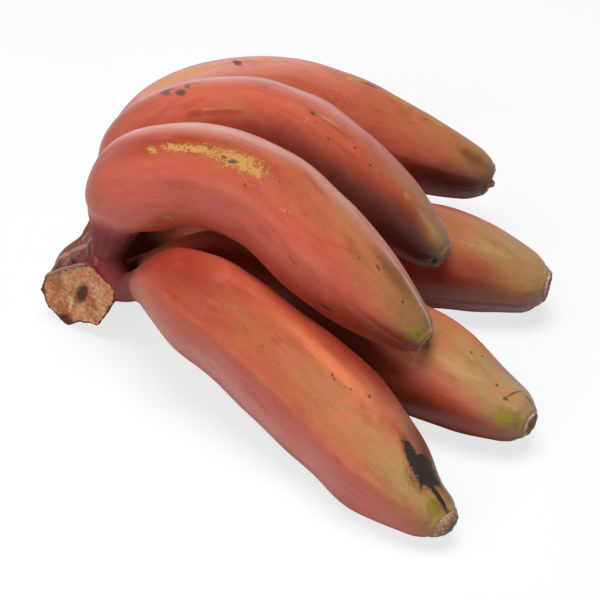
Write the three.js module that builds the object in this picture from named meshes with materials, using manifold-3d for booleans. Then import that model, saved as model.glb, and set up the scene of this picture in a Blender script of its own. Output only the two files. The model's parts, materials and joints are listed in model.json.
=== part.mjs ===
// A hand of six red bananas: two tiers of three fingers on one cut crown, lying on its lower tier.
// Millimetres, +Z up, +X from the crown along the fingers, origin on the surface under the middle.
import * as THREE from 'three';
import { mergeVertices } from 'three/addons/utils/BufferGeometryUtils.js';
import Module from 'manifold-3d';

// Driving dimensions.
const JOINT_GAP = 0.3; // between a finger's stalk and its stub on the crown
const JOINT_DISTANCE = 14; // along a finger's route, from its root inside the crown to the joint
const ROOT_FLARE = 1.04; // a stub's girth at its root over its girth at the joint
const RIDGE_RISE = 0.022; // how far the five soft ridges stand out, as a share of the radius
const FLATNESS = 0.96; // a finger's depth in the plane of its curve over its width
const SIDES = 20; // corners of one ring of a finger
const BODY_RINGS = 28; // rings along a finger, up to its rounded end
const CROWDING = 0.55; // how much closer together they lie towards the first and the last
const END_RINGS = 6; // rings round the end
const END_START = 0.96; // the share of a route at which the end begins to round off
const STUB_RINGS = 6;
const RIDGES = 5;
const CONTACT_GAP = 0.5; // between two fingers whose sides are pressed flat on each other
const CONTACT_PASSES = 6;
const LINE_SAMPLES = 120; // points at which a finger's middle line and girth are known

// Every route runs from the root in the crown through the stalk, shoulder and belly to the tip.
// belly, stalk, shoulder and tip are radii: shoulder is where the taper would reach if the end
// were not rounded, and tip is the flower scar. swellStart and swellEnd are the shares of the
// route between which the stalk widens into the belly; past taperStart the belly narrows, and the
// higher bluntness is, the later it does so. ridgeTurn is one ridge's angle from the outer side.
const FINGERS = [
  {
    name: 'lower_front_finger',
    belly: 19.9, stalk: 5.7, shoulder: 7.6, tip: 6,
    swellStart: 0.08, swellEnd: 0.35, taperStart: 0.7, bluntness: 2.3, ridgeTurn: 30,
    route: [[-79.3, 11.5, 20], [-69.5, 3.8, 26], [-60, -1, 32.7], [-43, -11, 40.5], [-21, -20, 36],
      [2, -33, 30], [25, -46, 22], [46, -62, 16.5], [72, -77, 10]],
  },
  {
    name: 'lower_middle_finger',
    belly: 20.4, stalk: 5.8, shoulder: 8.2, tip: 5.2,
    swellStart: 0.05, swellEnd: 0.28, taperStart: 0.65, bluntness: 2.3, ridgeTurn: 20,
    route: [[-89, 23, 12], [-75, 23, 18], [-59, 20, 22], [-33, 18, 25], [-4, 12, 22],
      [26, 6, 19.6], [55.4, -8.6, 17.4], [91, -21, 13]],
  },
  {
    name: 'lower_back_finger',
    belly: 21.6, stalk: 5.8, shoulder: 8, tip: 5.2,
    swellStart: 0.05, swellEnd: 0.32, taperStart: 0.68, bluntness: 2.5, ridgeTurn: 20,
    route: [[-96, 33, 8], [-84, 43, 12], [-69, 51, 17], [-44, 56, 20], [-17, 58, 20],
      [13, 62, 21], [40, 63, 20], [83, 62, 16.6]],
  },
  {
    name: 'upper_front_finger',
    belly: 19.8, stalk: 5.4, shoulder: 6.6, tip: 4.4,
    swellStart: 0.05, swellEnd: 0.3, taperStart: 0.68, bluntness: 2, ridgeTurn: 30,
    route: [[-84, 16, 26], [-78, 10, 40], [-73, 12, 57], [-66, 11, 68], [-45, 14, 75],
      [-14, 10, 72], [13, -4, 60], [51.4, -19.6, 41]],
  },
  {
    name: 'upper_middle_finger',
    belly: 17.9, stalk: 5.2, shoulder: 6.8, tip: 4.4,
    swellStart: 0.05, swellEnd: 0.29, taperStart: 0.62, bluntness: 2.7, ridgeTurn: 20,
    route: [[-93, 20, 22], [-87, 25, 31], [-81, 39, 48], [-74, 49, 61], [-51, 61, 70],
      [-23, 64, 68], [1, 56, 60], [46, 39, 37]],
  },
  {
    name: 'upper_back_finger',
    belly: 19.8, stalk: 5.0, shoulder: 8.2, tip: 5.4,
    swellStart: 0.05, swellEnd: 0.31, taperStart: 0.66, bluntness: 2.2, ridgeTurn: 20,
    route: [[-100, 27, 15.5], [-94, 40, 23], [-87, 62, 35], [-81, 83, 45], [-62, 100, 52],
      [-32, 111, 51], [-3, 112, 42.6], [51, 111, 28.4]],
  },
];

// The crown is the pad that the stalks grow from. It is cut across in front, and runs back under
// the roots. Its outline is seen from the front: x to the right, z up from the cut face's middle.
// turn is how far the outline is turned to face left, in degrees.
const CROWN_OUTLINE = [[-20.5, -8], [-16, 0], [-9, 5], [0.5, 11.5], [6, 14], [11, 11],
  [17.7, 7.2], [16.2, 0.5], [8, -12.5], [-1, -14.5], [-8.5, -21], [-16.5, -15]];
const CROWN_STATIONS = [
  { at: [-89.5, 5, 20], share: 0.98, turn: 20 },
  { at: [-89, 6.5, 19.9], share: 0.96, turn: 20 },
  { at: [-91.5, 16, 17.5], share: 0.68, turn: 12 },
  { at: [-96, 27, 15.5], share: 0.74, turn: -8 },
  { at: [-98, 34, 13], share: 0.42, turn: -8 },
];

const SKIN = new THREE.MeshStandardMaterial({ color: 0xb4523a, roughness: 0.5, metalness: 0 });
const CROWN_SKIN = new THREE.MeshStandardMaterial({ color: 0x7d4a44, roughness: 0.8, metalness: 0 });

const UP = new THREE.Vector3(0, 0, 1);
const vector = (point) => new THREE.Vector3(...point);

// A closed body from rings of points that all have the same number of corners, each ring
// running the same way round, with both ends closed by a fan to the ring's middle.
function loft(rings) {
  const corners = rings[0].length;
  const points = rings.flat();
  const faces = [];
  for (let ring = 0; ring + 1 < rings.length; ring += 1) {
    for (let corner = 0; corner < corners; corner += 1) {
      const next = (corner + 1) % corners;
      const [a, b] = [ring * corners + corner, ring * corners + next];
      const [c, d] = [a + corners, b + corners];
      faces.push(a, b, d, a, d, c);
    }
  }
  const middles = [rings[0], rings.at(-1)].map(centreOf);
  const [startPole, endPole] = [points.length, points.length + 1];
  const lastRing = (rings.length - 1) * corners;
  for (let corner = 0; corner < corners; corner += 1) {
    const next = (corner + 1) % corners;
    faces.push(startPole, next, corner);
    faces.push(endPole, lastRing + corner, lastRing + next);
  }
  const geometry = new THREE.BufferGeometry();
  geometry.setFromPoints([...points, ...middles]);
  geometry.setIndex(faces);
  return geometry;
}

function centreOf(ring) {
  const sum = ring.reduce((total, point) => total.add(point), new THREE.Vector3());
  return sum.divideScalar(ring.length);
}

function layOnSurface(rings) {
  rings.flat().forEach((point) => point.setZ(Math.max(point.z, 0)));
}

const smoothShare = (value, start, end) => THREE.MathUtils.smoothstep(value, start, end);

function radiusAt(finger, share) {
  const swell = smoothShare(share, finger.swellStart, finger.swellEnd);
  const past = Math.max(0, share - finger.taperStart) / (1 - finger.taperStart);
  const body = THREE.MathUtils.lerp(finger.belly, finger.shoulder, past ** finger.bluntness);
  const round = Math.max(0, share - END_START) / (1 - END_START);
  const closed = THREE.MathUtils.lerp(finger.tip, body, Math.sqrt(1 - round ** 2));
  return THREE.MathUtils.lerp(finger.stalk, closed, swell);
}

// The curve of a finger's middle line, its length, and the direction square to its bend.
function middleLine(finger) {
  const curve = new THREE.CatmullRomCurve3(finger.route.map(vector), false, 'centripetal');
  const length = curve.getLength();
  const start = curve.getPointAt(0);
  const toMiddle = curve.getPointAt(0.5).sub(start);
  const side = toMiddle.cross(curve.getPointAt(1).sub(start)).normalize();
  return { curve, length, side };
}

// One ring: a soft pentagon square to the middle line. Angle 0 is on the outer side of the bend.
function ringAt(line, share, radius, ridgeTurn) {
  const middle = line.curve.getPointAt(share);
  const along = line.curve.getTangentAt(share);
  const outward = new THREE.Vector3().crossVectors(line.side, along).normalize();
  const sideways = new THREE.Vector3().crossVectors(along, outward);
  const ring = [];
  for (let corner = 0; corner < SIDES; corner += 1) {
    const angle = (corner / SIDES) * 2 * Math.PI;
    const ridge = Math.cos(RIDGES * (angle - THREE.MathUtils.degToRad(ridgeTurn)));
    const reach = radius * (1 + RIDGE_RISE * ridge);
    const point = middle.clone();
    point.addScaledVector(outward, reach * FLATNESS * Math.cos(angle));
    point.addScaledVector(sideways, reach * Math.sin(angle));
    ring.push(point);
  }
  return ring;
}

// How far a point lies outside a finger's plain round body; below zero it is inside.
function clearance(point, body) {
  return body.reduce((least, { middle, radius }) => (
    Math.min(least, point.distanceTo(middle) - radius)), Infinity);
}

// Fingers that grew against each other are flat where they touch: a point that is no nearer
// to its own finger than to the neighbour moves back towards its own middle line.
function pressAgainst(rings, own, neighbour) {
  for (const ring of rings) {
    const middle = centreOf(ring);
    for (const point of ring) {
      for (let pass = 0; pass < CONTACT_PASSES; pass += 1) {
        const lead = clearance(point, neighbour) - clearance(point, own);
        const inward = middle.clone().sub(point).normalize();
        point.addScaledVector(inward, Math.max(0, CONTACT_GAP - lead) / 2);
      }
    }
  }
}

function plainBody(finger) {
  const line = middleLine(finger);
  return Array.from({ length: LINE_SAMPLES + 1 }, (_, sample) => {
    const share = sample / LINE_SAMPLES;
    return { middle: line.curve.getPointAt(share), radius: radiusAt(finger, share) };
  });
}

// The shares of the route at which a finger's rings lie, from its joint to its tip.
function ringShares(jointShare) {
  const shares = [];
  for (let step = 0; step <= BODY_RINGS; step += 1) {
    const even = step / BODY_RINGS;
    const eased = even - CROWDING * Math.sin(2 * Math.PI * even) / (2 * Math.PI);
    shares.push(THREE.MathUtils.lerp(jointShare, END_START, eased));
  }
  for (let step = 1; step <= END_RINGS; step += 1) {
    const round = Math.sin((step / END_RINGS) * (Math.PI / 2));
    shares.push(THREE.MathUtils.lerp(END_START, 1, round));
  }
  return shares;
}

function fingerShape(finger, bodies) {
  const line = middleLine(finger);
  const jointShare = (JOINT_DISTANCE + JOINT_GAP / 2) / line.length;
  const rings = ringShares(jointShare).map((share) => (
    ringAt(line, share, radiusAt(finger, share), finger.ridgeTurn)));
  for (const neighbour of FINGERS.filter((other) => other !== finger)) {
    pressAgainst(rings, bodies.get(finger), bodies.get(neighbour));
  }
  layOnSurface(rings);
  return loft(rings);
}

// The stub that joins a finger's stalk to the crown: it flares towards the root.
function stubShape(finger) {
  const line = middleLine(finger);
  const jointShare = (JOINT_DISTANCE - JOINT_GAP / 2) / line.length;
  const rings = [];
  for (let step = 0; step <= STUB_RINGS; step += 1) {
    const share = (step / STUB_RINGS) * jointShare;
    const flare = THREE.MathUtils.lerp(ROOT_FLARE, 1, smoothShare(share, 0, jointShare));
    rings.push(ringAt(line, share, radiusAt(finger, share) * flare, finger.ridgeTurn));
  }
  return loft(rings);
}

function crownPad() {
  const rings = CROWN_STATIONS.map(({ at, share, turn }) => {
    const right = new THREE.Vector3(1, 0, 0).applyAxisAngle(UP, -THREE.MathUtils.degToRad(turn));
    return CROWN_OUTLINE.map(([x, z]) => (
      vector(at).addScaledVector(right, x * share).addScaledVector(UP, z * share)));
  });
  layOnSurface(rings);
  return loft(rings);
}

// The pad and its six stubs, joined in one solid.
function crownShape(manifoldModule) {
  const { Manifold, Mesh } = manifoldModule;
  const solids = [crownPad(), ...FINGERS.map(stubShape)].map((geometry) => {
    const merged = mergeVertices(geometry);
    return new Manifold(new Mesh({
      numProp: 3,
      vertProperties: merged.attributes.position.array,
      triVerts: new Uint32Array(merged.index.array),
    }));
  });
  const joined = solids.reduce((total, solid) => total.add(solid)).getMesh();
  const geometry = new THREE.BufferGeometry();
  geometry.setAttribute('position', new THREE.BufferAttribute(joined.vertProperties, 3));
  geometry.setIndex(new THREE.BufferAttribute(joined.triVerts, 1));
  return geometry;
}

function addPiece(group, name, geometry, material) {
  geometry.computeVertexNormals();
  const mesh = new THREE.Mesh(geometry, material);
  mesh.name = name;
  group.add(mesh);
}

const wasm = await Module();
wasm.setup();

const hand = new THREE.Group();
addPiece(hand, 'crown', crownShape(wasm), CROWN_SKIN);
const bodies = new Map(FINGERS.map((finger) => [finger, plainBody(finger)]));
for (const finger of FINGERS) {
  addPiece(hand, finger.name, fingerShape(finger, bodies), SKIN);
}

// The origin is under the middle of the whole hand, at the surface it lies on.
const box = new THREE.Box3().setFromObject(hand);
const middle = box.getCenter(new THREE.Vector3());
hand.position.set(-middle.x, -middle.y, -box.min.z);

export default hand;
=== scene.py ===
"""Looks of a hand of red bananas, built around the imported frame. Metres, +Z up."""
import json
import math

import bmesh
import bpy
import numpy as np
from mathutils import Matrix, Vector, noise

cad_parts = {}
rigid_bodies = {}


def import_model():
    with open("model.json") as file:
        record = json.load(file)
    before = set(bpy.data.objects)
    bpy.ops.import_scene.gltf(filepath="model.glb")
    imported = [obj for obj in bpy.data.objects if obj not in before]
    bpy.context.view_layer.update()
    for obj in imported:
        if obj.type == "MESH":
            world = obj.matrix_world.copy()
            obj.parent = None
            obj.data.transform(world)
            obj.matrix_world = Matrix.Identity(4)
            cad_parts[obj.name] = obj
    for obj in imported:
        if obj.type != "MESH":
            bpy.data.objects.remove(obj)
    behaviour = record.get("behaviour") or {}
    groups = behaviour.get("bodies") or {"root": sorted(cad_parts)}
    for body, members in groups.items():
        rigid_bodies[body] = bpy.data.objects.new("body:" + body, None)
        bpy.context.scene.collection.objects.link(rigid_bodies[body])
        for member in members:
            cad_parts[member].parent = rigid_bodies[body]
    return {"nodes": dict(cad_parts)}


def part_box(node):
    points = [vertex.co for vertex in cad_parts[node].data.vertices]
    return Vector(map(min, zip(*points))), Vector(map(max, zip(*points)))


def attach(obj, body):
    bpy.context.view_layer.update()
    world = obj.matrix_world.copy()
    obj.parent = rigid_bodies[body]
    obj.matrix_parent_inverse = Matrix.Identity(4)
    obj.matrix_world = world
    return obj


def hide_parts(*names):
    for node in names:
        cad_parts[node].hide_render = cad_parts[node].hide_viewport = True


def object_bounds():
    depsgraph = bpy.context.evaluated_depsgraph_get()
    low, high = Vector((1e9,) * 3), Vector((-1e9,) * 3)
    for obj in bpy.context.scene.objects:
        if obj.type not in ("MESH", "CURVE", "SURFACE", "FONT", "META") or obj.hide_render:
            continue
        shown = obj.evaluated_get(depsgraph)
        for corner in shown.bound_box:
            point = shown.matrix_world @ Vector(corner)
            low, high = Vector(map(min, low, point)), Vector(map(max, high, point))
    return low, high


for leftover in list(bpy.data.objects):
    bpy.data.objects.remove(leftover)
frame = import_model()
bpy.context.view_layer.update()
cad_low, cad_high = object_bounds()

MM = 0.001
SAME_PLACE = 0.001 * MM  # corners in one cell of this size are one corner
SIDES = 20  # corners of one ring of a packed finger
AROUND = 144  # corners of one ring of a finished finger
BETWEEN = 8  # finished rings for each packed one
TUCK = 4 * MM  # how far a stalk runs on into its stub on the crown
TUCK_RINGS = 6
CAP_RINGS = 26  # rings from the rim of a flower scar to its middle
CAP_SHARES = 1 - np.arange(1, CAP_RINGS + 1) / (CAP_RINGS + 1)  # of the scar's radius
CROWN_HEART = np.array((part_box("crown")[0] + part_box("crown")[1]) / 2)


# ---------------- numbers and curves

WAVES = 9  # waves in one field of soft lumps
WAVE_LENGTHS = 0.6, 1.5  # least and most waves in one lump size
WAVE_PEAK = 3.2  # what the sum of the waves seldom goes past
GRAIN_SIZE = 1.3 * MM
GRAIN = 0.9, 2.1, 4  # a fractal's roughness, its step in size and its number of steps


def linear(red, green, blue):
    """A display colour, 0 to 255, as the linear colour that a shader takes."""
    return tuple(
        c / 12.92 if c <= 0.04045 else ((c + 0.055) / 1.055) ** 2.4
        for c in (red / 255, green / 255, blue / 255)
    )


def smooth(value, start, end):
    """0 at start, 1 at end and an even S between them. Start may be past end."""
    share = np.clip((value - start) / (end - start), 0, 1)
    return share * share * (3 - 2 * share)


def bell(distance, width=1.0, power=2):
    """1 at no distance, 0.37 at the width and 0 far away. More power makes a flatter top."""
    return np.exp(-((distance / width) ** power))


def norm(vectors):
    return np.linalg.norm(vectors, axis=-1)


def unit(vectors):
    return vectors / norm(vectors)[..., None]


def from_segment(points, start, end, least=0):
    """How far each point is from a straight run, which begins at its least share."""
    run = end - start
    share = np.clip((points - start) @ run / (run @ run), least, 1)
    return norm(points - start - share[:, None] * run)


def oval_distance(x, y, wide, tall, lean):
    """How far x and y are from an oval's middle, as a share of its reach. Lean in degrees."""
    turn = math.radians(lean)
    first = (x * math.cos(turn) - y * math.sin(turn)) / wide
    second = (x * math.sin(turn) + y * math.cos(turn)) / tall
    return np.hypot(first, second)


def spline(values, at, closed=False):
    """The smooth curve through evenly numbered values, read at fractional numbers."""
    count = len(values)
    flat = values.reshape(count, -1)
    rows = np.arange(count)
    bend = 4 * np.eye(count)
    bend[rows, rows - 1] += 1
    bend[rows, (rows + 1) % count] += 1
    pull = 6 * (np.roll(flat, 1, 0) - 2 * flat + np.roll(flat, -1, 0))
    if not closed:
        for end in (0, count - 1):
            bend[end] = rows == end
            pull[end] = 0
    curve = np.linalg.solve(bend, pull)
    low = np.floor(at).astype(int)
    if not closed:
        low = np.clip(low, 0, count - 2)
    right = (at - low)[:, None]
    left = 1 - right
    a, b = low % count, (low + 1) % count
    read = left * flat[a] + right * flat[b]
    read += (left**3 - left) * curve[a] / 6 + (right**3 - right) * curve[b] / 6
    return read.reshape((len(at),) + values.shape[1:])


def lumps(points, size, seed):
    """Soft unevenness between about -1 and 1, from waves about size long."""
    random = np.random.default_rng(seed)
    waves = unit(random.normal(size=(WAVES, 3))) * random.uniform(*WAVE_LENGTHS, (WAVES, 1))
    phase = random.uniform(0, 2 * math.pi, WAVES)
    return np.sin(points @ waves.T * (2 * math.pi / size) + phase).sum(-1) / WAVE_PEAK


def grain(points):
    """Rough fractal unevenness between about -1 and 1 at each point."""
    flat = points.reshape(-1, 3) / GRAIN_SIZE
    read = [noise.fractal(Vector(p), *GRAIN) for p in flat]
    return np.array(read).reshape(points.shape[:-1])


def grooves(straight):
    """Fine grooves along a stalk, in mm, from places on the straightened stalk."""
    return lumps(straight * [1, 1, 0.12], 3.2, 8) * 0.16


# ---------------- a finger's packed rings

def joined_mesh(node):
    """The node's corners, each once, and its faces."""
    mesh = frame["nodes"][node].data
    corners = np.array([v.co for v in mesh.vertices])
    keys = np.round(corners / SAME_PLACE).astype(np.int64)
    _, first, same = np.unique(keys, axis=0, return_index=True, return_inverse=True)
    same = same.ravel()
    faces = [[int(same[v]) for v in face.vertices] for face in mesh.polygons]
    return corners[first], faces


def packed_rings(node):
    """The node's rings from stalk to tip. Each starts on the outer side of the bend."""
    corners, faces = joined_mesh(node)
    near = [set() for _ in corners]
    for face in faces:
        for corner in face:
            near[corner].update(face)
    poles = [v for v, around in enumerate(near) if len(around) == SIDES + 1]
    poles.sort(key=lambda v: norm(corners[v] - CROWN_HEART))
    layers, seen = [{poles[0]}], {poles[0]}
    while layers[-1]:
        reach = set().union(*(near[v] for v in layers[-1])) - seen
        seen |= reach
        layers.append(reach)
    layers = [layer for layer in layers if len(layer) == SIDES]
    return ordered_rings(corners, near, layers)


def ordered_rings(corners, near, layers):
    """Each layer's corners in order around the finger. The middle layer is sorted by angle,
    and the others follow from it, neighbour by neighbour."""
    middles = np.array([corners[list(layer)].mean(0) for layer in layers])
    half = len(layers) // 2
    side = np.cross(middles[half] - middles[0], middles[-1] - middles[0])
    along = unit(middles[half + 1] - middles[half - 1])
    outward = unit(np.cross(side, along))
    sideways = np.cross(along, outward)

    def turn(v):
        arm = corners[v] - middles[half]
        return (math.atan2(arm @ sideways, arm @ outward) + math.pi / SIDES) % (2 * math.pi)

    rings = {half: sorted(layers[half], key=turn)}
    for step in (1, -1):
        index = half + step
        while 0 <= index < len(layers):
            last = rings[index - step]
            rings[index] = [
                (near[last[j]] & near[last[(j - step) % SIDES]] & layers[index]).pop()
                for j in range(SIDES)
            ]
            index += step
    return corners[np.array([rings[i] for i in range(len(layers))])]


# ---------------- colours and marks

BLACK, WHITE = (0, 0, 0), (1, 1, 1)
# Some of these colours are painted light. The pale bloom colour is wax bloom and also painted sheen and
# highlight along top edges and silhouettes. The straw colour is painted highlight, and the blaze colour
# is painted fill light on a shaded side. The pink colour is pink peel and also painted sheen on lower
# left sides. The dark colour is painted shade on undersides over a darker maroon, and the deep and
# umber colours are painted shade where the fingers put them on undersides and shaded sides.
DISPLAY = {
    "body": (196, 90, 67), "deep": (150, 50, 32), "pink": (214, 104, 88), "orange": (178, 86, 48),
    "tan": (184, 121, 76), "olive": (148, 110, 60), "maroon": (132, 66, 63), "umber": (122, 62, 40),
    "dark": (78, 36, 28), "vivid": (216, 106, 56), "painted_highlight": (206, 160, 112),
    "bloom": (240, 205, 200), "painted_fill_light": (246, 134, 84), "khaki": (178, 150, 92),
    "bruise": (112, 66, 30), "green": (142, 124, 36), "scurf": (204, 154, 86), "grey": (74, 60, 52),
    "freckle": (150, 52, 32), "scratch": (206, 150, 100), "lesion": (50, 43, 41),
    "speck": (70, 45, 40), "spray": (168, 52, 36),
    "scar_dark": (146, 100, 78), "scar_pale": (224, 186, 156), "pit": (38, 30, 28),
    "web": (150, 66, 66), "bark": (104, 70, 60), "bark_pale": (160, 130, 112),
    "cut": (246, 184, 132), "cut_dark": (208, 126, 84), "cut_pale": (246, 212, 170),
    "cut_stain": (176, 96, 62), "hollow": (98, 58, 54),
}
COLOUR = {name: linear(*levels) for name, levels in DISPLAY.items()}
# The kinds of marks on the peel, in the order in which they are laid over each other. Each
# has a strength, how ragged its outline is and how far its edge fades.
MARKS = {
    "bruise": (0.7, 0.8, 0.5),
    "green": (0.8, 1.4, 0.25),
    "scurf": (0.85, 1.5, 0.25),
    "grey": (0.82, 1.6, 0.3),
    "freckle": (0.5, 1.6, 0.3),
    "scratch": (0.5, 1.4, 0.35),
    "lesion": (1.0, 1.5, 0.12),
    "speck": (0.8, 0.9, 0.25),
}
MARK_EDGE = 0.12  # the value of a mark's field, with its noise, at which the mark begins
FLOOR_PALE, FLOOR_WHITE, FLOOR_UNSEEN = 0.9, 0.93, 0.3
FLOOR_GLOW = 0.75  # how much of the floor that the camera sees is plain white


# ---------------- a finger's finished surface

def tucked_rings(rings):
    """Rings that carry on from the first one, back down the curve of the stalk."""
    middle = rings.mean(1)
    ahead, further = middle[BETWEEN] - middle[0], middle[2 * BETWEEN] - middle[BETWEEN]
    curl = (unit(further) - unit(ahead)) / norm(further + ahead) * 2
    first = unit(unit(ahead) * 1.5 - unit(further) * 0.5)
    back = np.linspace(TUCK, 0, TUCK_RINGS + 1)[:-1, None]
    shift = curl * back**2 / 2 - first * back
    return rings[0] + shift[:, None]


class Skin:
    """A finger's finished surface as rings of corners. It knows how far along and around
    the finger each corner is, and carries the fields that its material reads."""

    def __init__(self, node):
        packed = packed_rings(node)
        count = len(packed)
        rings = spline(packed, np.linspace(0, count - 1, (count - 1) * BETWEEN + 1))
        rings = np.concatenate([tucked_rings(rings), rings])
        corners = np.arange(AROUND) * (SIDES / AROUND)
        self.points = np.stack([spline(ring, corners, closed=True) for ring in rings])
        self.middle = self.points.mean(1)
        gaps = norm(np.diff(self.middle, axis=0))
        self.length = np.concatenate([[0], np.cumsum(gaps)]) - TUCK
        self.share = (self.length / self.length[-1])[:, None]
        self.along = unit(np.gradient(self.middle, axis=0))
        self.angle = np.arange(AROUND)[None] * (2 * math.pi / AROUND)
        self.reach = norm(self.points - self.middle[:, None])
        self.arms = unit(self.points - self.middle[:, None])
        self.fields = {}

    def swell(self, amount):
        """Moves each corner away from the middle line."""
        self.points = self.points + self.arms * amount[..., None]

    def straight(self):
        """Where each corner would be, in mm, if the finger were straight along Z."""
        reach = norm(self.points - self.middle[:, None])
        z = np.broadcast_to(self.length[:, None], reach.shape)
        spread = [reach * np.cos(self.angle), reach * np.sin(self.angle), z]
        return np.stack(spread, -1) / MM

    def distance(self, share, degrees, long, wide, tilt=0):
        """How far each corner is from a place on the skin, as a share of an oval's reach.
        The oval's half axes are in mm, and tilt turns it on the skin, in degrees."""
        ahead = (self.length[:, None] - share * self.length[-1]) / MM
        turn = (self.angle - math.radians(degrees) + math.pi) % (2 * math.pi) - math.pi
        return oval_distance(ahead, turn * self.reach / MM, long, wide, -tilt)


def add_marks(skin, kind, marks):
    """The field of one kind of mark: 1 in the middle of a mark, 0 at its rim, -1 far away."""
    skin.fields[kind] = np.full(skin.reach.shape, -1.0)
    for mark in marks:
        skin.fields[kind] = np.maximum(skin.fields[kind], 1 - skin.distance(*mark))


TIP_START = 0.9  # the share of the length at which the tip begins to turn olive
TIP_STRENGTH = 0.8
TINT_POWER = 2.6  # how square the edge of a tint is
STALK_FADE = 20, 9  # mm from the joint between which the skin turns maroon
TIP_WAVER, STALK_WAVER = 0.02, 1.2  # how uneven these two are, as a share and in mm


def shade(skin, tints):
    """The skin's colour, from the stalk to the tip, with the finger's soft patches, among them painted
    highlight, sheen and shade.
    """
    waver = lumps(skin.points, 22 * MM, 5)
    tip = smooth(skin.share + waver * TIP_WAVER, TIP_START, 1)
    stalk = smooth(skin.length[:, None] / MM + waver * STALK_WAVER, *STALK_FADE)
    layers = [("olive", tip * TIP_STRENGTH)]
    for name, strength, *place in tints:
        layers.append((name, strength * bell(skin.distance(*place), power=TINT_POWER)))
    colour = np.array(COLOUR["body"])
    for name, weight in (*layers, ("maroon", stalk)):
        colour = colour + (COLOUR[name] - colour) * weight[..., None]
    skin.fields.update(tint=colour, stalk=stalk)


RIDGES = 5
RIDGE_SLICE = 2 * math.pi / RIDGES
RIDGE_ROUNDING = math.radians(3)
MEAN_RIDGE = 0.9  # near the profile's mean, so that a finger stays about as thick


def ridge_profile(angle, turn):
    """A rounded pentagon's reach: highest along the five ridges, one of them at turn."""
    off = (angle - math.radians(turn) + RIDGE_SLICE / 2) % RIDGE_SLICE - RIDGE_SLICE / 2
    off = np.hypot(off, RIDGE_ROUNDING)
    return math.cos(RIDGE_SLICE / 2) / np.cos(RIDGE_SLICE / 2 - off) - MEAN_RIDGE


UNEVEN = 0.35  # mm, the height of the body's slow unevenness
NECK_AT, NECK_WIDTH, NECK_DEPTH = 1.6, 1.1, 0.35  # mm, from the tip's end
STALK_SWELL, TUCK_SHRINK = 0.15, 0.7  # mm, at the joint and at the end inside the crown


def shape_skin(skin, ridge_turn, ridge_height):
    """Soft ridges, slight unevenness, grooves at the stalk, wrinkles at the tip and a neck
    behind the scar. Length is in mm from the joint, and left is in mm to the tip."""
    length = skin.length[:, None] / MM
    left = length[-1] - length
    on_body = smooth(length, 12, 45) * smooth(left, 4, 30)
    ridge = ridge_profile(skin.angle, ridge_turn) * ridge_height * skin.reach
    uneven = lumps(skin.points, 34 * MM, 3) * UNEVEN * MM
    skin.swell((ridge + uneven) * on_body)
    skin.swell(grooves(skin.straight()) * MM * smooth(length, 26, 8))
    wrinkles = lumps(skin.straight() * [1, 1, 0.2], 2.6, 9) * 0.14 * MM
    skin.swell(wrinkles * smooth(left, 12, 1))
    skin.swell(-bell(left - NECK_AT, NECK_WIDTH) * NECK_DEPTH * MM)
    tucked = smooth(length, 1, -TUCK / MM)
    skin.swell((STALK_SWELL - TUCK_SHRINK * tucked) * MM * smooth(length, 3, 0))


RIM_AT, RIM_WIDTH = 0.86, 0.1  # shares of a flower scar's radius
HOLLOW_FROM, HOLLOW_TO = 0.85, 0.4
PIT_WIDTH = 0.2
SCAR_GRAIN = 0.35  # mm


def scar_rings(skin, rim, hollow, pit, stub=0.4, nub=None):
    """The flower scar that closes the tip. In mm: how far its stub stands out, the height
    of its rim and the depths of its hollow and its pit. A nub is (degrees, share of the
    radius, height, width) of a stump left on it."""
    edge, centre, facing = skin.points[-1], skin.middle[-1], skin.along[-1]
    rings, heights = [], []
    for share in CAP_SHARES:
        flat = centre + (edge - centre) * share
        height = np.full(AROUND, rim * bell(share - RIM_AT, RIM_WIDTH))
        height -= hollow * smooth(share, HOLLOW_FROM, HOLLOW_TO)
        height -= pit * bell(share, PIT_WIDTH)
        if nub:
            turn, out, tall, wide = nub
            spot = (edge[int(turn / 360 * AROUND)] - centre) * out
            height += tall * bell(norm(flat - centre - spot), wide * MM, power=4)
        height += grain(flat) * SCAR_GRAIN * smooth(share, 1, HOLLOW_FROM)
        raised = stub * (1 - share**3)
        rings.append(flat + facing * ((height + raised) * MM)[:, None])
        heights.append(height)
    return np.array(rings), np.array(heights)


def mesh_of_rings(name, rings, fields):
    """A closed mesh from rings of corners, with a field's value at each corner."""
    last = (len(rings) - 1) * AROUND
    start, end = last + AROUND, last + AROUND + 1
    pairs = [(corner, (corner + 1) % AROUND) for corner in range(AROUND)]
    faces = [
        (low + corner, low + after, low + AROUND + after, low + AROUND + corner)
        for low in range(0, last, AROUND) for corner, after in pairs
    ]
    for corner, after in pairs:
        faces += (start, after, corner), (end, last + corner, last + after)
    points = np.concatenate([rings.reshape(-1, 3), [rings[0].mean(0), rings[-1].mean(0)]])
    mesh = bpy.data.meshes.new(name)
    mesh.from_pydata(points.tolist(), [], faces)
    for key, values in fields.items():
        flat = values.reshape(start, -1)
        ends = np.reshape([values[0].mean(0), values[-1].mean(0)], (2, -1))
        set_field(mesh, key, np.concatenate([flat, ends]))
    return mesh


def set_field(mesh, key, values):
    """Stores one number or one vector for each corner of a mesh."""
    kind, slot = ("FLOAT_VECTOR", "vector") if values.shape[-1] == 3 else ("FLOAT", "value")
    layer = mesh.attributes.new(key, kind, "POINT")
    layer.data.foreach_set(slot, np.ascontiguousarray(values, np.float32).ravel())


def put(name, data):
    """A new object in the scene."""
    made = bpy.data.objects.new(name, data)
    bpy.context.scene.collection.objects.link(made)
    return made


def place(name, mesh, node, slot, material):
    """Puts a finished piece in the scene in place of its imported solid."""
    mesh.shade_smooth()
    mesh.materials.append(material)
    piece = put(name, mesh)
    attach(piece, "root")
    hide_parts(node)


# ---------------- materials

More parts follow.
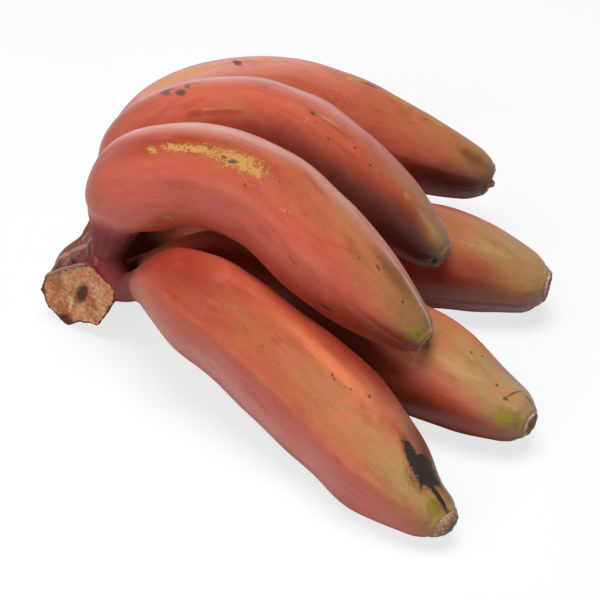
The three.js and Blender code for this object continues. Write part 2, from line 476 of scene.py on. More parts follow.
class Graph:
    """The nodes of a material or a world, made one by one. Every call gives the new node's
    output. An input takes a socket, a number, a colour or the name of one."""

    def __init__(self, owner):
        owner.use_nodes = True
        self.owner = owner
        self.tree = owner.node_tree
        self.shader = self.tree.nodes.get("Principled BSDF")

    def add(self, kind, inputs, output=0, **settings):
        made = self.tree.nodes.new("ShaderNode" + kind)
        for key, value in settings.items():
            setattr(made, key, value)
        for key, value in inputs.items():
            self.feed(made.inputs[key], value)
        return made.outputs[output]

    def feed(self, socket, value):
        if isinstance(value, str):
            value = COLOUR[value]
        if isinstance(value, bpy.types.NodeSocket):
            self.tree.links.new(value, socket)
        elif isinstance(value, tuple) and len(value) == 3 and socket.type == "RGBA":
            socket.default_value = value + (1,)
        else:
            socket.default_value = value

    def field(self, name, vector=False):
        return self.add("Attribute", {}, 1 if vector else 2, attribute_name=name)

    def math(self, operation, a, b=0.0, clamp=False):
        return self.add("Math", {0: a, 1: b}, operation=operation, use_clamp=clamp)

    def plus(self, a, b):
        return self.math("ADD", a, b)

    def times(self, a, b):
        return self.math("MULTIPLY", a, b)

    def swing(self, value, size, middle=0.5):
        """How far a noise is above its middle, made size times as large."""
        return self.times(self.math("SUBTRACT", value, middle), size)

    def rays(self):
        """Whether a ray comes from the camera, and whether it comes off or through something."""
        rays = self.tree.nodes.new("ShaderNodeLightPath").outputs
        mirrored = self.math("ADD", rays["Is Glossy Ray"], rays["Is Transmission Ray"], clamp=True)
        return rays["Is Camera Ray"], mirrored

    def stretch(self, vector, scale):
        return self.add("VectorMath", {0: vector, 1: scale}, operation="MULTIPLY")

    def noise(self, vector, scale, detail=3.0, rough=0.55):
        """Soft noise, whose lumps are about 1 / scale of the vector's unit long."""
        inputs = {"Vector": vector, "Scale": scale, "Detail": detail, "Roughness": rough}
        return self.add("TexNoise", inputs)

    def step(self, value, start, end, low=0.0, high=1.0):
        """Low at start, high at end and an even S between them."""
        inputs = {"Value": value, "From Min": start, "From Max": end, "To Min": low, "To Max": high}
        return self.add("MapRange", inputs, interpolation_type="SMOOTHSTEP")

    def mix(self, share, a, b):
        return self.add("Mix", {0: share, 6: a, 7: b}, 2, data_type="RGBA")

    def layers(self, base, *rows):
        """Colours laid over a base. Each row is a colour, a value, the values at which the
        colour begins and is full, and its strength."""
        for colour, value, start, end, strength in rows:
            base = self.mix(self.step(value, start, end, 0, strength), base, colour)
        return base

    def bump(self, height, distance, below=None):
        inputs = {"Height": height, "Distance": distance * MM}
        if below:
            inputs["Normal"] = below
        return self.add("Bump", inputs)

    def set(self, name, value):
        self.feed(self.shader.inputs[name], value)

    def finish(self, colour, roughness, normal):
        self.set("Base Color", colour)
        self.set("Roughness", roughness)
        self.set("Normal", normal)
        return self.owner


def peel_ground(g, unrolled, fine):
    """The peel's colour: the tint, which carries painted highlight, sheen and shade, with soft patches,
    mottle, strokes and dark pores.
    Pale patches and mottle stay off the stalk and off the dark tints, with little green."""
    patches = g.noise(g.stretch(unrolled, (1, 1, 0.35)), 0.15, 4, 0.6)
    mottle = g.noise(unrolled, 0.11, 4, 0.6)
    strokes = g.noise(g.stretch(unrolled, (1, 1, 0.18)), 0.6, 5, 0.65)
    dots = g.add("TexVoronoi", {"Vector": unrolled, "Scale": 0.15})
    lottery = g.add("SeparateColor", {0: dots.node.outputs["Color"]})
    pores = g.times(g.step(dots, 0.075, 0.04), g.step(lottery, 0.6, 0.65, 0, 0.55))

    colour = g.field("tint", vector=True)
    green = g.add("SeparateColor", {0: colour}, 1)
    bare = g.times(g.math("SUBTRACT", 1.0, g.field("stalk")), g.step(green, 0.02, 0.08))
    colour = g.mix(g.times(bare, g.step(patches, 0.5, 0.72, 0, 0.4)), colour, "tan")
    colour = g.layers(colour, ("deep", patches, 0.5, 0.3, 0.35))
    colour = g.mix(g.times(bare, g.step(mottle, 0.52, 0.7, 0, 0.3)), colour, "pink")
    colour = g.mix(g.step(strokes, 0.3, 0.7, 0.88, 1.06), BLACK, colour)
    colour = g.mix(g.step(fine, 0.3, 0.7, 0.95, 1.04), BLACK, colour)
    return g.mix(pores, colour, "umber")


def peel_marks(g, colour, fine, blot, flecks):
    """The colour with every kind of mark laid over it, and where each kind is."""
    masks = {}
    for kind, (strength, ragged, edge) in MARKS.items():
        value = g.plus(g.field(kind), g.swing(fine if kind == "speck" else blot, ragged))
        if kind in ("scurf", "scratch"):
            value = g.plus(value, g.swing(flecks, 3.6, 0.55))
        masks[kind] = g.step(value, MARK_EDGE - edge, MARK_EDGE + edge)
        colour = g.mix(g.times(masks[kind], strength), colour, kind)
    spray = g.times(g.step(flecks, 0.52, 0.6), g.step(g.field("spray"), -0.1, 0.6, 0, 0.85))
    return g.mix(spray, colour, "spray"), masks


def burnt_lesion(g, colour, lesion, flecks):
    """The black lesion over an umber halo, with maroon crumbs in it."""
    halo = g.plus(g.field("lesion"), g.swing(flecks, 1.2))
    colour = g.layers(colour, ("umber", halo, -0.5, 0.1, 0.7))
    colour = g.mix(lesion, colour, "lesion")
    crumbs = g.times(lesion, g.step(flecks, 0.55, 0.7, 0, 0.25))
    return g.mix(crumbs, colour, "maroon")


def scar_wood(g):
    """The flower scar's dry wood, dark in its pit and pale on its rim. Depth is in mm."""
    depth = g.field("depth")
    grit = g.noise(g.add("TexCoord", {}, 3), 1300, 4, 0.8)
    return g.layers(
        "scar_dark",
        ("scar_pale", grit, 0.4, 0.6, 1),
        ("pit", depth, -0.7, -2.2, 1),
        ("bloom", depth, 0.15, 0.55, 0.7),
    )


def peel_material():
    """Waxy peel. Its noises lie along the straightened finger, so they run with its bend.
    The vector is in mm."""
    g = Graph(bpy.data.materials.new("peel"))
    unrolled = g.field("straight", vector=True)
    fine = g.noise(unrolled, 1.4, 5)
    streak = g.noise(g.stretch(unrolled, (1, 1, 0.07)), 0.55, 4)
    blot = g.noise(unrolled, 0.42, 5, 0.65)
    flecks = g.noise(unrolled, 1.1, 4, 0.75)
    scar = g.field("scar")
    colour = peel_ground(g, unrolled, fine)
    colour, masks = peel_marks(g, colour, fine, blot, flecks)
    colour = burnt_lesion(g, colour, masks["lesion"], flecks)
    colour = g.mix(g.step(scar, 0.3, 0.7), colour, scar_wood(g))

    scurf, lesion = masks["scurf"], masks["lesion"]
    dry = normal = None
    for other in (scurf, lesion, scar, g.field("stalk")):
        dry = g.math("MAXIMUM", dry, other) if dry else other
    for height, distance in ((fine, 0.05), (streak, 0.04), (scurf, 0.08), (lesion, -0.25)):
        normal = g.bump(height, distance, normal)
    g.set("Specular IOR Level", 0.45)
    g.set("Sheen Weight", 0.12)
    g.set("Sheen Roughness", 0.25)
    g.set("Sheen Tint", "bloom")
    return g.finish(colour, g.step(dry, 0, 1, 0.42, 0.85), normal)


def crown_bark(g, fine, streak, here):
    """The crown's skin: streaked bark, pale seams, the smooth web and dark hollows."""
    skin = g.layers(
        "maroon",
        ("bark", g.noise(here, 0.16, 4), 0.35, 0.65, 1),
        ("bark_pale", streak, 0.45, 0.75, 0.55),
        ("bark_pale", g.plus(g.field("seam"), g.swing(fine, 0.6)), 0.3, 0.75, 0.85),
        ("web", g.field("web"), 0.2, 0.9, 1),
        ("pink", g.field("blush"), 0.2, 0.7, 0.7),
        ("hollow", g.field("cavity"), 0.1, 0.7, 0.75),
    )
    return g.mix(g.times(g.field("rim"), 0.6), skin, "hollow")


def crown_flesh(g, fibre, here):
    """The cut's flesh: fibres, pale and brown blotches, and the dark sunken middle."""
    stained = g.plus(g.noise(here, 0.35, 5, 0.7), g.times(g.field("stain"), 0.22))
    return g.layers(
        "cut_dark",
        ("cut", fibre, 0.38, 0.62, 1),
        ("cut_pale", g.noise(here, 0.3, 5), 0.5, 0.7, 0.7),
        ("cut_stain", stained, 0.52, 0.72, 0.75),
        ("cut_pale", g.field("streak"), 0.3, 0.8, 0.8),
        ("hollow", g.plus(g.field("depth"), g.swing(fibre, 1.0)), 0.2, 0.8, 0.9),
    )


def crown_material():
    """Bark around the crown and raw fibres on its cut. Both vectors are in mm."""
    g = Graph(bpy.data.materials.new("crown"))
    unrolled = g.field("straight", vector=True)
    here = g.stretch(g.add("TexCoord", {}, 3), (1000, 1000, 1000))
    face = g.field("face")
    fine = g.noise(unrolled, 1.4, 5)
    streak = g.noise(g.stretch(unrolled, (1, 1, 0.09)), 0.9, 5)
    fibre = g.noise(g.stretch(here, (1, 1, 0.75)), 1.1, 6, 0.8)
    skin, flesh = crown_bark(g, fine, streak, here), crown_flesh(g, fibre, here)
    g.set("Specular IOR Level", 0.3)
    normal = g.bump(g.mix(face, streak, fibre), 0.3)
    colour = g.mix(g.step(face, 0.3, 0.6), skin, flesh)
    return g.finish(colour, g.step(fine, 0.3, 0.7, 0.75, 0.92), normal)


def floor_material():
    """Pale to the camera and in reflections. It throws less light back on the object, and
    glows a little to the camera so that it shows as white."""
    g = Graph(bpy.data.materials.new("floor"))
    direct, mirrored = g.rays()
    seen = g.math("ADD", direct, mirrored, clamp=True)
    speck = g.noise(g.add("TexCoord", {}, 3), 6.0, 3)
    pale = g.step(speck, 0.3, 0.7, FLOOR_PALE, FLOOR_WHITE)
    g.set("Base Color", g.step(seen, 0, 1, FLOOR_UNSEEN, pale))
    g.set("Roughness", 0.9)
    g.set("Specular IOR Level", 0.0)
    white = g.add("Emission", {"Color": WHITE, "Strength": 1.0})
    share = g.times(direct, FLOOR_GLOW)
    shown = g.add("MixShader", {0: share, 1: g.shader.outputs[0], 2: white})
    g.feed(g.tree.nodes["Material Output"].inputs["Surface"], shown)
    return g.owner


# ---------------- the six fingers

# A place on a finger is its share of the way along, degrees round from the outer side, half
# axes in mm and, where it isn't 0, its tilt in degrees. Ridges are a turn in degrees and a
# height as a share of the radius. A bump is its height in mm, below 0 for a dent, and its
# place. A tint is a colour, its strength and its place. Each kind of mark has its places.
FINGERS = {
    "lower_front_finger": dict(
        ridges=(193, 0.4),
        scar=dict(stub=3, rim=0.1, hollow=0.1, pit=0.2),
        bumps=[
            (3.2, 0.64, 160, 34, 8), (-3, 0.93, 156, 9, 11), (-0.6, 0.85, 311, 14, 6),
            (0.9, 0.985, 318, 8, 6), (0.8, 0.2, 300, 12, 10), (-0.8, 0.34, 316, 12, 8),
            (-0.5, 0.76, 318, 14, 7),
        ],
        # Painted light here. The pink tints at 300 and 305 degrees and the bloom tint at 314 degrees
        # are partly pink peel and partly painted sheen on the lower left side. The blaze tint at 203
        # degrees is painted fill light by the right ridge. The deep tint at 167 degrees and the umber
        # tint at 165 degrees are painted shade on the side past that ridge.
        tints=[
            ("orange", 0.9, 0.45, 232, 70, 12), ("deep", 0.9, 0.19, 226, 18, 14),
            ("tan", 0.95, 0.8, 228, 50, 12), ("deep", 0.35, 0.33, 230, 20, 8),
            ("painted_fill_light", 0.6, 0.61, 203, 22, 2.4), ("pink", 1, 0.5, 305, 90, 10),
            ("deep", 0.95, 0.55, 167, 54, 6.5), ("bloom", 0.2, 0.45, 314, 80, 5),
            ("umber", 0.4, 0.74, 165, 26, 6), ("pink", 0.7, 0.85, 300, 26, 8),
            ("olive", 0.8, 1, 240, 20, 9), ("khaki", 0.8, 0.94, 230, 18, 8),
            ("olive", 0.7, 0.97, 192, 7, 4), ("tan", 0.9, 0.89, 160, 20, 10),
            ("umber", 0.6, 0.86, 168, 9, 8), ("khaki", 0.85, 0.97, 168, 9, 10),
        ],
        lesion=[(0.918, 186, 6.4, 8.6), (0.887, 204, 8, 2.2, 14), (0.96, 208, 9, 1, 3)],
        bruise=[(0.855, 174, 8, 5), (0.962, 176, 5, 4), (0.98, 224, 3, 1.6)],
        green=[(0.98, 238, 3.4, 2.8)],
        speck=[
            (0.627, 210, 0.9, 0.6), (0.639, 212, 0.9, 0.6), (0.683, 208, 4, 0.35, -20),
            (0.725, 198, 1.1, 0.7),
        ],
        freckle=[
            (0.79, 268, 2, 0.8, 20), (0.348, 235, 0.9, 0.7), (0.485, 240, 1, 0.7),
            (0.426, 237, 0.7, 0.6), (0.485, 258, 0.8, 0.6),
        ],
    ),
    "lower_middle_finger": dict(
        ridges=(290, 0.2),
        scar=dict(stub=1.2, rim=0.5, hollow=0.4, pit=0.6),
        bumps=[(3.1, 0.775, 214, 17, 7), (-0.9, 0.9, 222, 10, 5), (-0.8, 0.84, 15, 16, 8)],
        # Painted light here. The straw tints at 272 and 275 degrees are painted highlights. The deep
        # and dark tints at 330 degrees are painted shade on the lower side.
        tints=[
            ("tan", 0.95, 0.86, 255, 40, 12), ("vivid", 0.4, 0.78, 225, 24, 6),
            ("painted_highlight", 0.7, 0.84, 272, 9, 2.2), ("olive", 0.85, 0.97, 262, 14, 12),
            ("bloom", 0.7, 0.967, 283, 2.2, 1.4, -40), ("khaki", 0.75, 0.93, 258, 24, 11),
            ("khaki", 0.5, 0.85, 235, 26, 4), ("painted_highlight", 0.4, 0.965, 275, 14, 12),
            ("deep", 0.3, 0.84, 330, 34, 8), ("dark", 0.3, 0.6, 330, 40, 12),
        ],
        green=[(0.968, 303, 5.5, 4.2)],
        grey=[(0.956, 249, 5.4, 0.4, -73), (0.949, 272, 1.2, 0.8), (0.985, 222, 3.4, 0.7, -30)],
        speck=[(0.92, 260, 0.8, 0.6), (0.84, 240, 0.9, 0.6), (0.86, 232, 0.8, 0.6)],
        scratch=[(0.75, 282, 5, 1.8), (0.765, 288, 1.2, 5)],
    ),
    "lower_back_finger": dict(
        ridges=(274, 0.2),
        scar=dict(stub=2.2, rim=0.5, hollow=0.5, pit=1),
        bumps=[(3.2, 0.985, 355, 13, 12), (-1.6, 0.93, 232, 14, 6), (-0.8, 0.275, 328, 14, 11)],
        # Painted light here. The bloom tints at 6 and 350 degrees are painted sheen and painted light
        # from the floor along the lower edge. The straw tint at 265 degrees is a painted highlight.
        tints=[
            ("tan", 0.95, 0.88, 248, 40, 11), ("olive", 0.6, 0.98, 250, 12, 8),
            ("orange", 0.4, 0.84, 300, 30, 5), ("tan", 0.9, 0.97, 322, 18, 7),
            ("khaki", 0.75, 0.95, 255, 24, 12), ("bloom", 0.5, 0.87, 6, 30, 3),
            ("painted_highlight", 0.45, 0.868, 265, 10, 2), ("tan", 0.8, 0.9, 330, 26, 3),
            ("bloom", 0.35, 0.88, 350, 30, 3.5),
        ],
        bruise=[(0.87, 346, 24, 1.2)],
        scurf=[(0.83, 268, 2.5, 1, 10), (0.89, 266, 3, 1, 5)],
    ),
    "upper_front_finger": dict(
        ridges=(190, 0.14),
        scar=dict(rim=0.3, hollow=0.8, pit=0.8),
        bumps=[(-0.6, 0.935, 276, 11, 1.3, 6), (-1.3, 0.575, 155, 12, 9), (1.1, 0.68, 160, 14, 9)],
        # Painted light here. The bloom tints at 168, 179 and 184 degrees are painted sheen and
        # highlight along the top edge. The pink tints at 288 degrees are partly pink peel and partly
        # painted sheen on the lower left. The deep tint at 214 degrees is a painted shade band below
        # the top edge, and the deep tint at 300 degrees is painted shade on the underside.
        tints=[
            ("deep", 0.8, 0.3, 214, 50, 6), ("bloom", 0.6, 0.3, 184, 50, 5),
            ("orange", 0.8, 0.6, 208, 50, 9), ("pink", 0.9, 0.2, 288, 40, 11),
            ("pink", 0.7, 0.5, 288, 50, 8), ("deep", 0.7, 0.8, 300, 34, 6),
            ("tan", 0.8, 0.84, 208, 42, 8, 9), ("umber", 0.25, 0.17, 240, 14, 8),
            ("bloom", 0.3, 0.62, 168, 46, 6), ("olive", 0.8, 0.96, 205, 16, 10),
            ("umber", 0.9, 0.95, 290, 20, 5), ("bloom", 0.6, 0.92, 179, 20, 0.7),
        ],
        scurf=[
            (0.46, 221, 14, 4.6), (0.5, 224, 6, 2.4), (0.38, 222, 8, 2.2), (0.33, 225, 6, 2.2),
            (0.285, 229, 3, 1.6, 60), (0.294, 312, 3, 1.4, 20),
        ],
        grey=[(0.45, 224, 2.4, 1.1, -20), (0.43, 223, 1.2, 0.8)],
        bruise=[(0.86, 192, 12, 3)],
        green=[(0.98, 236, 3.5, 3)],
        speck=[
            (0.5, 242, 0.8, 0.7), (0.83, 205, 1.9, 0.5, 15), (0.915, 212, 0.7, 0.6), (0.8, 298, 2.6, 1),
            (0.79, 215, 0.6, 0.5),
        ],
        freckle=[(0.65, 225, 1, 0.8), (0.56, 218, 1, 0.7), (0.7, 271, 2.4, 0.8, 10)],
        scratch=[(0.61, 240, 3.4, 0.3, -12), (0.633, 243, 3, 0.3, 20), (0.62, 236, 2.6, 0.3, -30)],
    ),
    "upper_middle_finger": dict(
        ridges=(24, 0.2),
        scar=dict(rim=0.3, hollow=1, pit=1),
        bumps=[(0.7, 0.2, 222, 20, 10)],
        # Painted light here. The bloom tints at 178 and 196 degrees and the pink tint at 212 degrees
        # are painted sheen and highlight along the top side, partly over pink peel. The straw tint at
        # 239 degrees is a painted highlight by the tip. The deep tint at 288 degrees and the dark tints
        # at 292 degrees are painted shade on the underside.
        tints=[
            ("pink", 0.7, 0.45, 212, 60, 7), ("bloom", 0.6, 0.36, 196, 56, 6),
            ("vivid", 0.2, 0.5, 255, 50, 6), ("deep", 0.6, 0.5, 288, 60, 5),
            ("pink", 0.35, 0.3, 240, 30, 8), ("orange", 0.6, 0.72, 232, 30, 6),
            ("olive", 0.85, 0.94, 210, 28, 7), ("umber", 0.5, 0.92, 258, 26, 5),
            ("painted_highlight", 0.8, 0.938, 239, 7, 1.3, 4), ("bloom", 0.6, 0.94, 178, 16, 0.8),
            ("umber", 0.3, 0.2, 222, 20, 8), ("maroon", 0.3, 0.16, 232, 22, 12),
            ("dark", 0.9, 0.84, 292, 50, 9), ("dark", 0.95, 0.95, 292, 20, 7),
            ("khaki", 0.6, 0.975, 242, 9, 4),
        ],
        grey=[
            (0.302, 226, 4.2, 1.3, 65), (0.308, 220, 3, 1, 30), (0.33, 237, 2.2, 1.6, 70),
            (0.345, 226, 3, 0.9, 75), (0.352, 220, 3, 0.9, 10), (0.602, 238, 1.4, 1.1),
        ],
        scratch=[
            (0.4, 266, 9, 0.4, -4), (0.36, 264, 6, 0.3, 8), (0.63, 233, 6, 0.9, -4),
            (0.65, 231, 4, 0.7, 6), (0.6, 247, 3.6, 0.4, 80), (0.86, 236, 2, 1.2),
        ],
        freckle=[(0.35, 270, 5, 1.6, -4), (0.4, 271, 11, 1.1, -4), (0.62, 246, 1, 0.8)],
        speck=[(0.663, 253, 0.8, 0.6), (0.714, 240, 0.8, 0.6), (0.76, 243, 0.8, 0.6)],
    ),
    "upper_back_finger": dict(
        ridges=(236, 0.2),
        scar=dict(rim=0.3, hollow=0.6, pit=0.5, nub=(90, 0.5, 2.4, 1.7)),
        bumps=[
            (0.8, 0.5, 227, 100, 10), (0.9, 0.93, 0, 16, 8), (0.5, 0.25, 225, 20, 10),
            (-0.4, 0.45, 227, 18, 10), (0.3, 0.7, 227, 24, 10), (-0.6, 0.14, 282, 9, 8),
        ],
        # Painted light here. The bloom tint at 240 degrees is painted sheen on the top side. The dark
        # tint at 325 degrees is painted shade on the underside.
        tints=[
            ("pink", 0.6, 0.5, 222, 60, 6), ("bloom", 0.5, 0.4, 240, 50, 7),
            ("vivid", 0.4, 0.6, 258, 60, 7), ("tan", 0.9, 0.9, 250, 34, 10),
            ("olive", 0.7, 0.99, 256, 12, 9), ("dark", 0.85, 0.93, 325, 30, 8),
        ],
        scurf=[
            (0.35, 238, 16, 2.4, 4), (0.4, 240, 6, 1.4), (0.5, 240, 12, 0.8), (0.58, 243, 5, 1),
            (0.67, 236, 12, 1.5, -8), (0.76, 234, 14, 1), (0.86, 238, 8, 0.9, 6),
        ],
        grey=[(0.445, 240, 2.4, 1.5, 60), (0.69, 235, 7, 0.7, -8)],
        freckle=[(0.957, 335, 5, 1.4)],
        spray=[(0.633, 270, 7, 5, 30), (0.665, 273, 7, 4, 20)],
        bruise=[(0.95, 264, 7, 2.8)],
    ),
}


def capped_fields(skin, heights):
    """The skin's fields, carried on over the rings of the flower scar."""
    none = np.zeros(skin.reach.shape)
    fields = dict(skin.fields, straight=skin.straight(), scar=none, depth=none)
    caps = {key: np.repeat(values[-1:], CAP_RINGS, 0) for key, values in fields.items()}
    caps["straight"][..., :2] *= CAP_SHARES[:, None, None]
    caps.update(scar=np.ones(heights.shape), depth=heights)
    return {key: np.concatenate([fields[key], caps[key]]) for key in fields}


def finger(node, facts, material):
    skin = Skin(node)
    for kind in (*MARKS, "spray"):
        add_marks(skin, kind, facts.get(kind, ()))
    shade(skin, facts["tints"])
    for height, *place_on in facts["bumps"]:
        skin.swell(bell(skin.distance(*place_on)) * height * MM)
    shape_skin(skin, *facts["ridges"])
    skin.points[..., 2] = np.maximum(skin.points[..., 2], cad_low.z)
    scar, heights = scar_rings(skin, **facts["scar"])
    rings = np.concatenate([skin.points, scar])
    mesh = mesh_of_rings(node + "_peel", rings, capped_fields(skin, heights))
    place(node + "_peel", mesh, node, "peel", material)
    return skin


peel = peel_material()
skins = [finger(node, facts, peel) for node, facts in FINGERS.items()]


# ---------------- the crown's fine mesh

# Neighbouring stalks, by their place in FINGERS, and how thick the web between them is.
WEBS = ((0, 3, 1.04), (1, 4, 0.85), (2, 5, 0.85), (3, 4, 0.9), (4, 5, 0.9), (0, 1, 0.8), (1, 2, 0.8))
BEADS = np.linspace(0.05, 0.95, 7)  # a row's balls, as shares of the way along it
WEB_DEPTH = 3.5 * MM
# The swelling behind the shoulder: its first and last middle, and its radius at each.
HAUNCH = (
    (np.array((-87.2, -3.6, 17.4)) * MM, 7.5 * MM),
    (np.array((-85.8, 9.8, 21.1)) * MM, 5.6 * MM),
)
CROWN_VOXEL = 0.42 * MM  # the grid that the even mesh is made on
CROWN_SOFTENING = 14  # passes


def stalk_bases():
    """For each finger, a place a little below its stalk's joint, and the stalk's radius."""
    bases = []
    for skin in skins:
        start = int(np.abs(skin.length).argmin())
        centre = skin.middle[start] - skin.along[start] * WEB_DEPTH
        bases.append((centre, skin.reach[start].mean()))
    return bases


def add_beads(solid, one, other, fullness):
    """A row of balls between two places with their radii, as thick as the fullness says."""
    (start, first), (end, second) = one, other
    for share in BEADS:
        spot = Matrix.Translation(Vector(start + (end - start) * share))
        radius = fullness * (first + (second - first) * share)
        bmesh.ops.create_icosphere(solid, subdivisions=3, radius=radius, matrix=spot)


def rough_crown():
    """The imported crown, with balls for the webs between its stalks and for its swelling."""
    corners, faces = joined_mesh("crown")
    solid = bmesh.new()
    made = [solid.verts.new(corner) for corner in corners]
    for face in faces:
        solid.faces.new([made[corner] for corner in face])
    bases = stalk_bases()
    for one, other, fullness in WEBS:
        add_beads(solid, bases[one], bases[other], fullness)
    add_beads(solid, *HAUNCH, 1)
    mesh = bpy.data.meshes.new("crown_rough")
    solid.to_mesh(mesh)
    solid.free()
    return mesh


def fine_crown():
    """The rough crown's outer surface as one even fine mesh."""
    rough = put("crown_rough", rough_crown())
    even = rough.modifiers.new("even", "REMESH")
    even.mode = "VOXEL"
    even.voxel_size = CROWN_VOXEL
    soften = rough.modifiers.new("soften", "SMOOTH")
    soften.iterations = CROWN_SOFTENING
    depsgraph = bpy.context.evaluated_depsgraph_get()
    made = bpy.data.meshes.new_from_object(rough.evaluated_get(depsgraph))
    bpy.data.objects.remove(rough)
    return made


def corner_values(mesh, name):
    values = np.zeros(len(mesh.vertices) * 3)
    mesh.vertices.foreach_get(name, values)
    return values.reshape(-1, 3)


# ---------------- places on the crown

STALK_SPAN = -2, 20, 45  # mm down from a stalk's end: first, last, and how many places
CURL_RING = 3 * BETWEEN  # the ring that shows how a stalk curls
SEAM_STALKS = 3, 4  # the stalks with a pale seam between them, by their place in FINGERS
SMOOTH_WEB = 3, 0  # the stalks of the smooth web in front
SMOOTH_WEB_FADE = 12, 7  # mm from its middle line
PLANE_STEPS = 50, 5  # how finely a normal and an offset in mm tell two planes apart


def stalk_axes():
    """For each finger, places down its stalk into the crown, and its frame there."""
    axes = []
    for skin in skins:
        start, along = skin.middle[0], skin.along[0]
        curl = (skin.along[CURL_RING] - along) / (skin.length[CURL_RING] - skin.length[0])
        down = np.linspace(*STALK_SPAN)[:, None] * MM
        line = start - along * down + 0.5 * curl * down**2
        outward = unit(skin.arms[0, 0] - along * (skin.arms[0, 0] @ along))
        axes.append((line, down[:, 0], outward, np.cross(along, outward)))
    return axes


def places_on_stalks(points):
    """In mm, where each corner is on its nearest stalk, and how far from the pale seam."""
    distances, straights = [], []
    for line, down, outward, sideways in stalk_axes():
        away = norm(points[:, None] - line[None])
        nearest = away.argmin(1)
        arm = points - line[nearest]
        distances.append(away.min(1))
        straights.append(np.stack([arm @ outward, arm @ sideways, -down[nearest] - TUCK], -1))
    distances, straights = np.array(distances), np.array(straights)
    order = distances.argsort(0)
    every = np.arange(len(points))
    apart = distances[order[1], every] - distances[order[0], every]
    by_seam = (np.sort(order[:2], 0) == np.array(SEAM_STALKS)[:, None]).all(0)
    return straights[order[0], every] / MM, np.where(by_seam, apart, np.inf) / MM


def near_web(points):
    """1 in the smooth web between the two front stalks, and 0 away from it."""
    (start, _), (end, _) = (stalk_bases()[place] for place in SMOOTH_WEB)
    return smooth(from_segment(points, start, end, 0.1) / MM, *SMOOTH_WEB_FADE)


def cut_face():
    """The crown's flat cut: its triangles, its middle, and its axes: right, inward and up."""
    corners, faces = joined_mesh("crown")
    triangles = corners[np.array(faces)]
    square = np.cross(triangles[:, 1] - triangles[:, 0], triangles[:, 2] - triangles[:, 0])
    area = norm(square)
    normal = square / area[:, None]
    offset = (triangles[:, 0] * normal).sum(-1) / MM
    key = np.round(np.c_[normal * PLANE_STEPS[0], offset * PLANE_STEPS[1]])
    _, plane = np.unique(key, axis=0, return_inverse=True)
    plane = plane.ravel()
    cut = plane == np.bincount(plane, area).argmax()
    up = np.array([0.0, 0.0, 1.0])
    inward = -normal[cut].mean(0)
    axes = np.array([np.cross(inward, up), inward, up])
    seen = triangles[cut] @ axes.T
    heart = (seen.min((0, 1)) + seen.max((0, 1))) / 2
    return seen - heart, heart, axes


def cross(a, b):
    """The area between two flat arrows."""
    return a[..., 0] * b[..., 1] - a[..., 1] * b[..., 0]


def inside_outline(seen, triangles):
    """How far inside the triangles' common outline each flat point is, in the same unit."""
    inside = np.zeros(len(seen), bool)
    edges = {}
    for a, b, c in triangles:
        u, v, at = b - a, c - a, seen - a
        first, second = cross(at, v) / cross(u, v), cross(u, at) / cross(u, v)
        inside |= (first >= 0) & (second >= 0) & (first + second <= 1)
        for start, end in ((a, b), (b, c), (c, a)):
            key = frozenset((tuple(np.round(start, 4)), tuple(np.round(end, 4))))
            edges[key] = None if key in edges else (start, end)
    least = np.full(len(seen), np.inf)
    for start, end in filter(None, edges.values()):
        least = np.minimum(least, from_segment(seen, start, end))
    return np.where(inside, least, -least)


def oval(flat, across, up, wide, tall, lean):
    """1 in the middle of an oval on the cut and 0 outside it. Millimetres and degrees."""
    away = oval_distance(flat[:, 0] - across, flat[:, 1] - up, wide, tall, lean)
    return bell(away, power=2.2)


# ---------------- the crown

# Places on the cut: across, up, half width, half height and lean, in millimetres and degrees.
# Bark is left at three places on the rim: how deep each is, how dark, and where. The marks are
# the hollow, the pale streak beside it and two pale patches. The blush is behind the rim.
CUT_BARK = (
    (0.8, 0.6, -19.5, -3.5, 4.2, 6, 0), (1.2, 1, -7.5, -16.5, 6, 5.5, 0),
    (0.8, 1, 17, -3.5, 2.4, 6.5, -35),
)
CUT_MARKS = ((1.2, 0.6, 2.8, 7, 26), (-3.6, -6, 0.9, 4.6, 18), (-5.5, 5, 4, 4, 0), (11, 3, 4.5, 8, 0))
CUT_STAINS = (
    (4, -1, 5, 6, 20), (-10, 2, 3.5, 6, 20), (2, -11, 5, 2, -20), (9, -13, 4, 3, 0), (-9, -11, 5, 5, 0),
)
BLUSH = (8, 18, 1.2, 4, 12)
SHOULDER, SHOULDER_REACH = np.array((-93, -3, 26)) * MM, 8 * MM
# Heights and depths in mm.
SHOULDER_HEIGHT = 2.8
SEAM_HEIGHT = 0.55
RIM_HEIGHT = 0.3
SKIN_GRAIN, FACE_GRAIN = 0.1, 0.45
FACE_DEPTH, HOLLOW_DEPTH, STREAK_HEIGHT = 0.4, 2.4, 0.9
RIDGE_BACK, RIDGE_LEAN, RIDGE_WIDTH = 15.2, 0.45, 1.0  # the pale ridge behind the cut
VALLEY_WIDTH = 1.1  # the pale seam between two stalks
RAGGED = 0.25  # how uneven the edge of the cut is
RIM_LOST = 0.85  # the share of the dark rim that is missing along the top
PATCH_STRENGTH = 0.6  # of the pale patches, where the streak's is 1
SMOOTH_BARK = 0.7  # the share of the grooves that is missing on the smooth web


